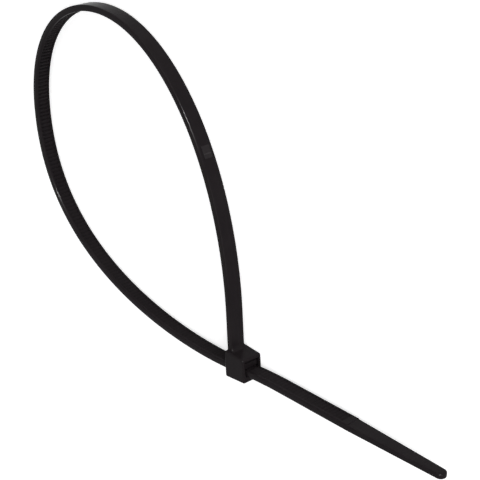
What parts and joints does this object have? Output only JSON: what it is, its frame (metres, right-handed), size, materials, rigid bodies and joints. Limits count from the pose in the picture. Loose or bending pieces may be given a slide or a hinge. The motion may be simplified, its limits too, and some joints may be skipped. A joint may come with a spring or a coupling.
{
  "type": "cable tie",
  "caption": "Self-locking toothed strap tie closed into a wide loop: the thin strap leaves a small square head, comes back through its slot and ends in a tapered tail.",
  "frame": {"origin": "middle of the head's slot, on the surface that the head lies on", "axes": "+X out of the slot along the tail, +Y up along the start of the strap, +Z off the surface, across the strap"},
  "size_m": [0.1324, 0.0849, 0.0057],
  "materials": {
    "black_nylon": "moulded nylon, near black, smooth with a soft satin gloss"
  },
  "bodies": {
    "root": {"cable_tie": "black_nylon"}
  },
  "joints": []
}
